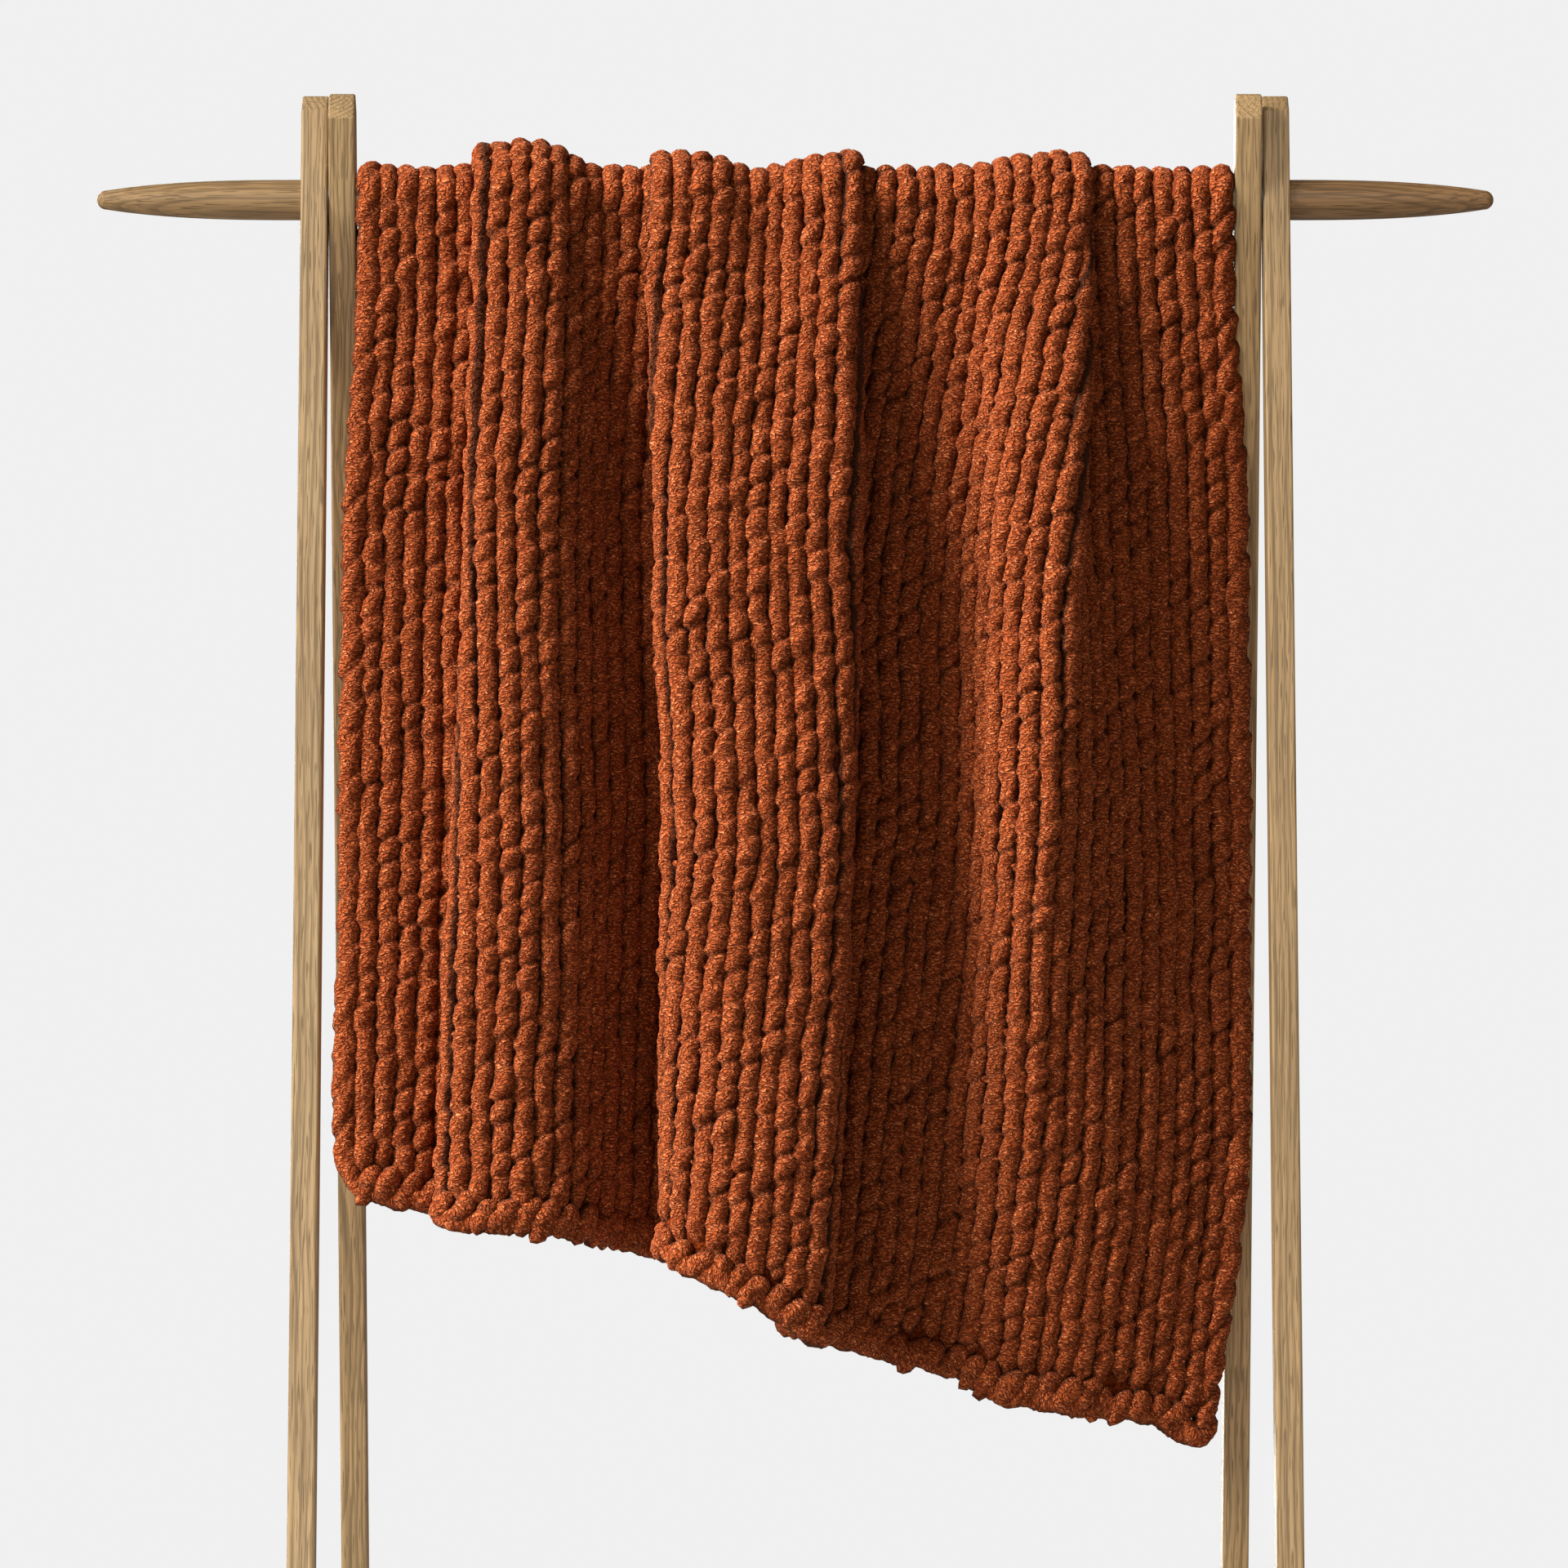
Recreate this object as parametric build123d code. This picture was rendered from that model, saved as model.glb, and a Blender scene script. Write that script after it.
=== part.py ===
from build123d import *
from math import cos, radians, tan
import os

os.makedirs("parts", exist_ok=True)

# Millimetres and degrees. +Z is up, the front is -Y, +X is to the right seen from the front.
# The origin is on the floor, midway between the four feet.
bar_height = 1550.0          # bar axis above the floor
bar_radius = 19.0
bar_half_length = 430.0      # shoulder of the bar, against the inner leg
leg_lean = 11.5              # each leg from the vertical, one forwards and one backwards
leg_thickness = 26.0         # along the bar
leg_width = 50.0             # across the bar
leg_top_rise = 104.0         # leg beyond the bar axis, along the leg
leg_top_bevel = 19.5         # bevel at the front and back of the leg's top end
leg_edge_radius = 2.4
pad_thickness = 3.0
pad_margin = 3.0             # foot showing round its pad
pad_corner_radius = 4.0

leg_gap = 1.5                # between the inner and the outer leg
running_gap = 0.3            # between faces that slide past each other
glue_gap = 0.05              # round anything glued or driven into a hole
pivot_gap = 0.06             # outer leg's bore on the tenon
tenon_radius = 12.5
tenon_in_finial = 20.0
overcut = 1.0                # how far a cutter runs past the face it opens

finial_nose_radius = 9.4
finial_tip = 684.0           # from the middle of the bar
finial_base_radius = 19.8
finial_mid_radius = 15.4
finial_mid_back = 60.0       # where that radius is, back from the tip
finial_nose_slope = -0.16    # of the side where it meets the round nose

stud_radius = 4.0
stud_half_length = 30.0
dowel_radius = 4.0
dowel_blind_depth = 8.0      # wood left in front of the locking dowel
stop_pin_radius = 3.0
stop_pin_arm = 34.0          # above the bar axis
stop_pin_in_inner_leg = 10.0
stop_pin_in_groove = 6.0
washer_radius = 25.0

throw_half_width = 428.0     # the cloth as it hangs between the inner legs
cloth = 11.0                 # the knit's own thickness
fold_radius = 12.0
front_drop = 1240.0          # below the bar axis, before the hems are cut
back_drop = 470.0

# Places along the bar that follow from those, on the right-hand side.
inner_leg_out = bar_half_length + leg_thickness
outer_leg_in = inner_leg_out + leg_gap
outer_leg_out = outer_leg_in + leg_thickness
finial_start = outer_leg_out + running_gap
tenon_end = finial_start + tenon_in_finial
bar_axis = Axis((0, 0, bar_height), (1, 0, 0))
to_bar = Pos(0, 0, bar_height)


def along_bar(radius, start, end, rise=0.0):
    """A round bar or hole parallel to the hanging bar, from one x to another."""
    middle = Pos((start + end) / 2, 0, bar_height + rise)
    return middle * Rot(0, 90, 0) * Cylinder(radius, end - start)


def across_leg(radius, x, front, back):
    """A round bar or hole square to the inner leg's rear face, through the bar axis."""
    middle = Pos(x, 0, bar_height) * Rot(leg_lean, 0, 0) * Pos(0, (front + back) / 2, 0)
    return middle * Rot(90, 0, 0) * Cylinder(radius, back - front)


def hanging_bar():
    bar = along_bar(bar_radius, -bar_half_length, bar_half_length)
    bar += along_bar(tenon_radius, -tenon_end, tenon_end)
    for side in (-1, 1):
        stud_hole = sorted((side * finial_stud_span()[0], side * (tenon_end + overcut)))
        bar -= along_bar(stud_radius + glue_gap, *stud_hole)
        bar -= across_leg(dowel_radius + glue_gap, side * inner_leg_middle(), *dowel_span())
    return bar


def finial_stud_span():
    """The stud is half in the tenon and half in the finial."""
    return tenon_end - stud_half_length, tenon_end + stud_half_length


def inner_leg_middle():
    return bar_half_length + leg_thickness / 2


def dowel_span():
    """From inside the inner leg's front to flush with its rear face."""
    return -leg_width / 2 + dowel_blind_depth, leg_width / 2


def finial():
    """A long bullet: a tangent curve from the base to a round nose, turned about the bar axis."""
    nose_centre = finial_tip - finial_nose_radius
    curve_middle = (finial_tip - finial_mid_back, finial_mid_radius)
    with BuildPart() as turned:
        with BuildSketch(Plane.XZ):
            with BuildLine():
                side = Spline(
                    (finial_start, finial_base_radius),
                    curve_middle,
                    (nose_centre, finial_nose_radius),
                    tangents=((1, 0), (1, finial_nose_slope)),
                )
                nose = ThreePointArc(
                    side @ 1,
                    (nose_centre + finial_nose_radius * cos(radians(45)),
                     finial_nose_radius * cos(radians(45))),
                    (finial_tip, 0),
                )
                Polyline(nose @ 1, (finial_start, 0), side @ 0)
            make_face()
        revolve(axis=Axis.X)
    body = to_bar * turned.part
    body -= along_bar(tenon_radius + glue_gap, finial_start - overcut, tenon_end)
    body -= along_bar(stud_radius + glue_gap, finial_start - overcut, finial_stud_span()[1])
    return body


def finial_stud():
    return along_bar(stud_radius, *finial_stud_span())


def leg_blank(middle, lean):
    """A straight leg through the bar axis, bevelled at the top and cut level above its foot pad."""
    half = leg_width / 2
    shoulder = leg_top_rise - leg_top_bevel
    length = (bar_height + leg_width) / cos(radians(leg_lean))
    with BuildPart() as blank:
        with BuildSketch(Plane.YZ):
            with BuildLine():
                Polyline(
                    (-half, -length),
                    (half, -length),
                    (half, shoulder),
                    (half - leg_top_bevel, leg_top_rise),
                    (leg_top_bevel - half, leg_top_rise),
                    (-half, shoulder),
                    close=True,
                )
            make_face()
        extrude(amount=leg_thickness / 2, both=True)
        fillet(blank.edges().filter_by(lambda e: e.center().Z > overcut - length), leg_edge_radius)
    leg = Pos(middle, 0, bar_height) * Rot(lean, 0, 0) * blank.part
    below = Pos(middle, 0, pad_thickness - bar_height) * Box(
        2 * leg_thickness, 2 * bar_height, 2 * bar_height
    )
    return leg - below


def inner_leg():
    """Fixed to the bar, with its foot at the back."""
    leg = leg_blank(inner_leg_middle(), leg_lean)
    leg -= along_bar(tenon_radius + glue_gap, bar_half_length - overcut, inner_leg_out + overcut)
    leg -= across_leg(dowel_radius + glue_gap, inner_leg_middle(), dowel_span()[0], leg_width)
    start = inner_leg_out - stop_pin_in_inner_leg
    leg -= along_bar(stop_pin_radius + glue_gap, start, inner_leg_out + overcut, stop_pin_arm)
    return leg


def outer_leg():
    """Turns on the tenon, with its foot at the front. The stop pin runs in its arc groove."""
    middle = (outer_leg_in + outer_leg_out) / 2
    leg = leg_blank(middle, -leg_lean)
    leg -= along_bar(tenon_radius + pivot_gap, outer_leg_in - overcut, outer_leg_out + overcut)
    sweep = CenterArc((0, 0), stop_pin_arm, 90 - leg_lean, 2 * leg_lean)
    slot = Plane.YZ * SlotArc(sweep, 2 * (stop_pin_radius + running_gap))
    groove = extrude(slot, amount=stop_pin_in_groove + running_gap + overcut)
    return leg - Pos(outer_leg_in - overcut, 0, bar_height) * Rot(-leg_lean, 0, 0) * groove


def locking_dowel():
    return across_leg(dowel_radius, inner_leg_middle(), *dowel_span())


def stop_pin():
    start = inner_leg_out - stop_pin_in_inner_leg
    return along_bar(stop_pin_radius, start, outer_leg_in + stop_pin_in_groove, stop_pin_arm)


def spacer_washer():
    end = outer_leg_in - running_gap
    ring = along_bar(washer_radius, inner_leg_out, end)
    return ring - along_bar(tenon_radius + glue_gap, inner_leg_out - overcut, end + overcut)


def foot_pad(middle, facing):
    """A pad under a level foot, in front (-1) or behind (1)."""
    reach = (bar_height - pad_thickness) * tan(radians(leg_lean))
    length = leg_width / cos(radians(leg_lean)) - 2 * pad_margin
    width = leg_thickness - 2 * pad_margin
    pad = Box(width, length, pad_thickness)
    pad = fillet(pad.edges().filter_by(Axis.Z), pad_corner_radius)
    return Pos(middle, facing * reach, pad_thickness / 2) * pad


def throw():
    """The knit throw hung over the bar: a front panel with three folds, and a short back flap."""
    inner = bar_radius + running_gap
    folds = [                     # x, thickness of the gathered cloth
        (-throw_half_width, cloth), (-325, cloth), (-290, 35), (-240, 34), (-190, cloth),
        (-155, cloth), (-130, 29), (-85, 27), (-60, 16), (-20, 16), (10, 27), (50, 28),
        (85, cloth), (185, cloth), (225, 26), (285, 27), (315, cloth), (throw_half_width, cloth),
    ]
    with BuildSketch() as section:
        with BuildLine():
            outside = FilletPolyline(*[(x, -inner - thick) for x, thick in folds], radius=fold_radius)
            Polyline(outside @ 1, (throw_half_width, -inner), (-throw_half_width, -inner), outside @ 0)
        make_face()
    face = to_bar * section.sketch
    front = extrude(face, amount=front_drop, dir=(0, 0, -1))
    over = revolve(face, axis=bar_axis, revolution_arc=-180)
    back = extrude(face.rotate(bar_axis, 180), amount=back_drop, dir=(0, 0, -1))
    edge = throw_half_width + overcut
    front_hem = [                 # x, height of the slanting lower edge
        (-edge, 640), (-415, 570), (-311, 544), (-139, 520), (14, 424),
        (221, 368), (335, 352), (395, 322), (edge, 440),
    ]
    back_hem = [(-edge, 1093), (-139, 1138), (14, 1234), (335, 1306), (edge, 1333)]
    front -= below_hem(front_hem, -1)
    back -= below_hem(back_hem, 1)
    return front + over + back


def below_hem(points, facing):
    """What lies under a hem line, on the front (-1) or back (1) of the bar."""
    reach = 100.0
    edge = throw_half_width + overcut
    with BuildPart() as waste:
        with BuildSketch(Plane.XZ):
            with BuildLine():
                Polyline(*points, (edge, 0), (-edge, 0), close=True)
            make_face()
        extrude(amount=reach)
    return waste.part if facing < 0 else Pos(0, reach, 0) * waste.part


def save(shape, node):
    shape.label = node
    export_step(shape, f"parts/{node}.step")


right_pieces = {
    "finial": finial(),
    "finial_stud": finial_stud(),
    "inner_leg": inner_leg(),
    "outer_leg": outer_leg(),
    "locking_dowel": locking_dowel(),
    "stop_pin": stop_pin(),
    "spacer_washer": spacer_washer(),
    "rear_foot_pad": foot_pad(inner_leg_middle(), 1),
    "front_foot_pad": foot_pad((outer_leg_in + outer_leg_out) / 2, -1),
}

save(hanging_bar(), "hanging_bar")
save(throw(), "throw")
for name, piece in right_pieces.items():
    save(piece, f"{name}_right")
    save(mirror(piece, about=Plane.YZ), f"{name}_left")
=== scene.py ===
import math
from functools import partial

import bpy
import numpy as np
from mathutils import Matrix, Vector


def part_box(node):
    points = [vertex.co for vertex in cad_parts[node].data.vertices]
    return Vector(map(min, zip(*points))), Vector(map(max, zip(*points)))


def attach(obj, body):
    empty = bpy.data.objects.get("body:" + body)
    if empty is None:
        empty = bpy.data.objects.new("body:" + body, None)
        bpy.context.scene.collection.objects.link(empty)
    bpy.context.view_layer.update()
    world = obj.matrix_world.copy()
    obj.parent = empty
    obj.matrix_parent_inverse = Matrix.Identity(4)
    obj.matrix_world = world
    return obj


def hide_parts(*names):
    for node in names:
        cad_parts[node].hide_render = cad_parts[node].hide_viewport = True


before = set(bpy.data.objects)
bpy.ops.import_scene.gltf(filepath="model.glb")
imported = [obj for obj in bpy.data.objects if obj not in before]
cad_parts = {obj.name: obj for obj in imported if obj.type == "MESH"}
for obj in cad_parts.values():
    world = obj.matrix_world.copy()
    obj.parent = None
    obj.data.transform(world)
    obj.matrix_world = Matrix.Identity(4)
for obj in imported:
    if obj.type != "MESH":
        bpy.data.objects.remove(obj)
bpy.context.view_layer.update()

barLow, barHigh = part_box("hanging_bar")
barHeight = (barLow.z + barHigh.z) / 2


def addNode(tree, kind, inputs=None, **settings):
    # settings are the node's own options, inputs go by name or number
    node = tree.nodes.new(kind)
    for name, value in settings.items():
        setattr(node, name, value)
    for name, value in (inputs or {}).items():
        if isinstance(value, bpy.types.NodeSocket):
            tree.links.new(value, node.inputs[name])
        else:
            node.inputs[name].default_value = value
    return node


def maths(tree, operation, *values):
    return addNode(tree, "ShaderNodeMath", dict(enumerate(values)), operation=operation).outputs[0]


def vectorMaths(tree, operation, *values):
    # scaling takes its factor from the socket named Scale
    inputs = dict(enumerate(values))
    if operation == "SCALE":
        inputs = {0: values[0], "Scale": values[1]}
    node = addNode(tree, "ShaderNodeVectorMath", inputs, operation=operation)
    return node.outputs["Value" if operation in ("DOT_PRODUCT", "LENGTH") else "Vector"]


def remap(tree, value, fromLow, fromHigh, toLow=0.0, toHigh=1.0, smooth=True):
    kind = "SMOOTHSTEP" if smooth else "LINEAR"
    return addNode(
        tree, "ShaderNodeMapRange",
        {"Value": value, "From Min": fromLow, "From Max": fromHigh, "To Min": toLow, "To Max": toHigh},
        interpolation_type=kind,
    ).outputs["Result"]


def mixColour(tree, factor, a, b):
    # the node has a set of sockets for each kind of value, and colours use these
    node = addNode(tree, "ShaderNodeMix", data_type="RGBA")
    for socket, value in zip((node.inputs[0], node.inputs[6], node.inputs[7]), (factor, a, b)):
        if isinstance(value, bpy.types.NodeSocket):
            tree.links.new(value, socket)
        else:
            socket.default_value = value
    return node.outputs[2]


def centred(tree, value, height):
    # a 0 to 1 value as height times -1 to 1
    return maths(tree, "MULTIPLY", maths(tree, "MULTIPLY_ADD", value, 2.0, -1.0), height)


def noiseTexture(tree, vector, scale, detail=0.0):
    return addNode(tree, "ShaderNodeTexNoise", {"Vector": vector, "Scale": scale, "Detail": detail}).outputs


def bumpNormal(tree, height, strength, distance):
    # distance is the height of a full step, in metres
    inputs = {"Height": height, "Strength": strength, "Distance": distance}
    return addNode(tree, "ShaderNodeBump", inputs).outputs[0]


def separated(tree, vector):
    return addNode(tree, "ShaderNodeSeparateXYZ", {0: vector}).outputs


def combined(tree, *values):
    return addNode(tree, "ShaderNodeCombineXYZ", dict(enumerate(values))).outputs[0]


def objectPlace(tree):
    return addNode(tree, "ShaderNodeTexCoord").outputs["Object"]


def newGroup(name, kind, inputs, outputs):
    tree = bpy.data.node_groups.new(name, kind)
    for socketName, socketKind, value in inputs:
        socket = tree.interface.new_socket(
            name=socketName, in_out="INPUT", socket_type="NodeSocket" + socketKind,
        )
        if value is not None:
            socket.default_value = value
    for socketName, socketKind in outputs:
        tree.interface.new_socket(name=socketName, in_out="OUTPUT", socket_type="NodeSocket" + socketKind)
    return tree, tree.nodes.new("NodeGroupInput").outputs, tree.nodes.new("NodeGroupOutput").inputs


def newMaterial(name, **shaderValues):
    material = bpy.data.materials.new(name)
    material.use_nodes = True
    tree = material.node_tree
    shader = next(n for n in tree.nodes if n.type == "BSDF_PRINCIPLED")
    for socket, value in shaderValues.items():
        shader.inputs[socket.replace("_", " ")].default_value = value
    return material, tree, shader


view = {
    "middle": (-0.011, barHeight - 0.572),   # x and height that the picture is centred on
    "width": 1.536,                          # what the picture spans at the bar
    "distance": 9.6,
}


def makeCamera():
    data = bpy.data.cameras.new("camera")
    data.sensor_width = 36
    data.lens = data.sensor_width * view["distance"] / view["width"]
    data.clip_end = 50
    camera = bpy.data.objects.new("camera", data)
    camera.location = (view["middle"][0], -view["distance"], view["middle"][1])
    camera.rotation_euler = (math.radians(90), 0, 0)
    bpy.context.scene.collection.objects.link(camera)
    bpy.context.scene.camera = camera


studio = {
    "sunDirection": (0.80, 0.31, -0.53),     # from the left, front and above
    "sunAngle": 27.0,
    "sunColour": (1.0, 0.96, 0.90),
    "throwKey": 8.3,
    "rackKey": 3.5,
    "rackFill": 1.5,
    "fillDirection": (0.15, 1.0, -0.35),
    "backFill": 2.2,                         # low light from behind, which the front doesn't see
    "backDirection": (0.25, -1.0, -0.10),
    "fill": 0.22,
    "fillColour": (1.0, 0.88, 0.74, 1.0),
    "backdrop": 0.871,
    "floorRadius": 2.3,
    "floorColour": (0.60, 0.605, 0.61, 1.0),
}


def makeStudio():
    bpy.context.scene.view_settings.view_transform = "Standard"
    lamps = {}
    for name, direction in (
        ("throwKey", "sunDirection"), ("rackKey", "sunDirection"), ("rackFill", "fillDirection"),
        ("backFill", "backDirection"),
    ):
        sun = bpy.data.lights.new(name, "SUN")
        sun.energy = studio[name]
        sun.angle = math.radians(studio["sunAngle"])
        sun.color = studio["sunColour"]
        lamp = bpy.data.objects.new(name, sun)
        lamp.rotation_mode = "QUATERNION"
        lamp.rotation_quaternion = Vector(studio[direction]).to_track_quat("-Z", "Y")
        bpy.context.scene.collection.objects.link(lamp)
        lamps[name] = lamp

    world = bpy.data.worlds.new("studio")
    bpy.context.scene.world = world
    world.use_nodes = True
    tree = world.node_tree
    background = tree.nodes["Background"]
    isSeen = addNode(tree, "ShaderNodeLightPath").outputs["Is Camera Ray"]
    strength = addNode(
        tree, "ShaderNodeMapRange",
        {"Value": isSeen, "To Min": studio["fill"], "To Max": studio["backdrop"]},
    ).outputs["Result"]
    tree.links.new(strength, background.inputs["Strength"])
    colour = mixColour(tree, isSeen, studio["fillColour"], (1.0, 1.0, 1.0, 1.0))
    tree.links.new(colour, background.inputs["Color"])

    mesh = bpy.data.meshes.new("floor")
    corners = 96
    radius = studio["floorRadius"]
    turns = [2 * math.pi * i / corners for i in range(corners)]
    ring = [(math.cos(turn) * radius, math.sin(turn) * radius, 0) for turn in turns]
    mesh.from_pydata(ring, [], [range(corners)])
    floor = bpy.data.objects.new("floor", mesh)
    bpy.context.scene.collection.objects.link(floor)
    paper, _, _ = newMaterial("floorPaper", Roughness=0.9, Base_Color=studio["floorColour"])
    floor.data.materials.append(paper)
    return lamps


def shareLight(lamps, throwPieces):
    # one key is for the throw alone and another for the rest, so that the throw's key can pass
    # the legs beside it, as a wide window's light does; the low back light falls on all
    legs = [bpy.data.objects["outer_leg_left"], bpy.data.objects["inner_leg_left"]]
    linkSets = (
        ("rackKey", "receiver_collection", throwPieces, "EXCLUDE"),
        ("rackFill", "receiver_collection", throwPieces, "EXCLUDE"),
        ("throwKey", "receiver_collection", throwPieces, "INCLUDE"),
        ("throwKey", "blocker_collection", legs, "EXCLUDE"),
    )
    for name, kind, members, state in linkSets:
        linked = bpy.data.collections.new(name + "Links")
        for member in members:
            linked.objects.link(member)
        for entry in linked.collection_objects:
            entry.light_linking.link_state = state
        setattr(lamps[name].light_linking, kind, linked)


# Seen from above, the cloth's middle line at five drops below the bar: for each key, how far
# along the bar it is, how far in front of the bar's axis, and how far down its hem hangs.
throw = {
    "flat": (1.27, 1.52),
    "wales": 66,
    "drops": (0.0, 0.2, 0.6, 0.95, 1.24),
    "rowStep": 0.0028,
    "arcSteps": 40,
    "keys": (
        # x at each drop                          # depth at each drop                     # hem
        ((-.4262, -.4285, -.434, -.441, -.437), (.0255, .027, .028, .030, .030), 0.960),
        ((-.390, -.395, -.400, -.405, -.405), (.0255, .028, .034, .036, .036), 0.984),
        ((-.330, -.335, -.345, -.355, -.358), (.0255, .027, .030, .030, .030), 0.988),
        ((-.260, -.266, -.290, -.305, -.308), (.0255, .027, .028, .028, .028), 0.994),
        ((-.260, -.266, -.290, -.305, -.308), (.036, .048, .050, .050, .050), 0.998),
        ((-.305, -.310, -.327, -.343, -.346), (.036, .048, .050, .050, .050), 1.000),
        ((-.305, -.310, -.327, -.343, -.346), (.047, .068, .078, .078, .078), 1.006),
        ((-.240, -.236, -.238, -.235, -.232), (.048, .074, .084, .084, .084), 1.009),
        ((-.205, -.190, -.184, -.180, -.180), (.0255, .026, .026, .026, .026), 1.026),
        ((-.160, -.150, -.145, -.145, -.145), (.0255, .016, .008, .006, .006), 1.036),
        ((-.077, -.082, -.082, -.086, -.090), (.0255, .016, .008, .006, .006), 1.032),
        ((-.077, -.082, -.082, -.086, -.090), (.034, .044, .048, .048, .048), 1.026),
        ((-.137, -.135, -.122, -.125, -.127), (.034, .044, .050, .050, .050), 1.022),
        ((-.137, -.135, -.122, -.125, -.127), (.034, .066, .084, .092, .094), 1.043),
        ((-.080, -.085, -.080, -.085, -.088), (.035, .072, .098, .108, .110), 1.060),
        ((-.035, -.035, -.035, -.045, -.050), (.013, .066, .098, .110, .112), 1.078),
        ((.010, .010, .005, -.010, -.020), (.028, .070, .095, .106, .108), 1.096),
        ((.060, .060, .052, .035, .018), (.037, .070, .090, .100, .102), 1.122),
        ((.060, .060, .052, .035, .018), (.030, .048, .060, .066, .066), 1.110),
        ((.033, .028, .012, -.005, -.018), (.030, .042, .044, .044, .044), 1.106),
        ((.033, .028, .012, -.005, -.018), (.0255, .018, .012, .012, .012), 1.108),
        ((.100, .100, .095, .085, .080), (.0255, .018, .010, .010, .012), 1.136),
        ((.172, .176, .174, .168, .160), (.0255, .018, .010, .010, .012), 1.156),
        ((.215, .203, .198, .184, .172), (.035, .056, .060, .022, .012), 1.166),
        ((.286, .280, .244, .212, .190), (.035, .066, .082, .027, .012), 1.176),
        ((.286, .284, .262, .236, .216), (.030, .048, .070, .026, .011), 1.182),
        ((.230, .252, .300, .276, .262), (.032, .040, .042, .021, .006), 1.188),
        ((.230, .258, .340, .328, .316), (.0255, .026, .008, .003, -.008), 1.194),
        ((.330, .330, .383, .380, .362), (.0255, .018, -.018, -.021, -.017), 1.202),
        ((.385, .392, .418, .416, .398), (.0255, .010, -.031, -.034, -.027), 1.246),
        ((.4262, .4305, .435, .436, .398), (.0255, .004, -.037, -.038, -.031), 1.312),
    ),
    "smoothReach": 22,                  # rows on each side that the folds are evened over
    "edgeFlare": (0.011, 0.12, 0.26),   # how much each side edge widens, and between which drops
    "edgeFrom": (0.36, 0.07),           # where that begins along the bar, and over what width
    "backLength": 0.5,                  # more than is needed behind the bar, before the trim
    "backDepth": (1.25, 0.2),           # how much the folds open behind, and over what drop
    "wander": 0.004,                    # uneven hang, front to back
    "wanderSize": (130, 60),            # in rows and columns
    "wanderFrom": 0.25,                 # the drop where it is whole
    "seed": 7,
}


def cutCorners(points, times=4):
    # each pass replaces a corner by two points, and the ends stay; it tends to a smooth curve
    for _ in range(times):
        first, last = points[:1], points[-1:]
        near = points[:-1] * 0.75 + points[1:] * 0.25
        far = points[:-1] * 0.25 + points[1:] * 0.75
        middle = np.stack([near, far], axis=1).reshape(-1, points.shape[-1])
        points = np.concatenate([first, middle[1:-1], last])
    return points


def distancesAlong(points):
    steps = np.linalg.norm(np.diff(points, axis=0), axis=1)
    return np.concatenate([[0], np.cumsum(steps)])


def smoothRows(values, reach):
    # a running mean down the rows, twice, with the ends held
    kernel = np.ones(2 * reach + 1) / (2 * reach + 1)
    flat = values.reshape(len(values), -1)
    for _ in range(2):
        padded = np.pad(flat, ((reach, reach), (0, 0)), mode="edge")
        flat = np.stack([np.convolve(column, kernel, "valid") for column in padded.T], axis=1)
    return flat.reshape(values.shape)


def waves(random, shape, lengths):
    # smooth random hills between about -1 and 1 on a grid of rows and columns
    rows, columns = np.meshgrid(np.arange(shape[0]), np.arange(shape[1]), indexing="ij")
    total, count = np.zeros(shape), 8
    for _ in range(count):
        angle = random.uniform(-1, 1)
        phase = random.uniform(0, 2 * math.pi)
        down = rows / lengths[0] * (1 + 0.5 * angle) * 2 * math.pi
        across = columns / lengths[1] * angle * 2 * math.pi
        total += np.sin(down + across + phase)
    return total / (count / 2)


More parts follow.
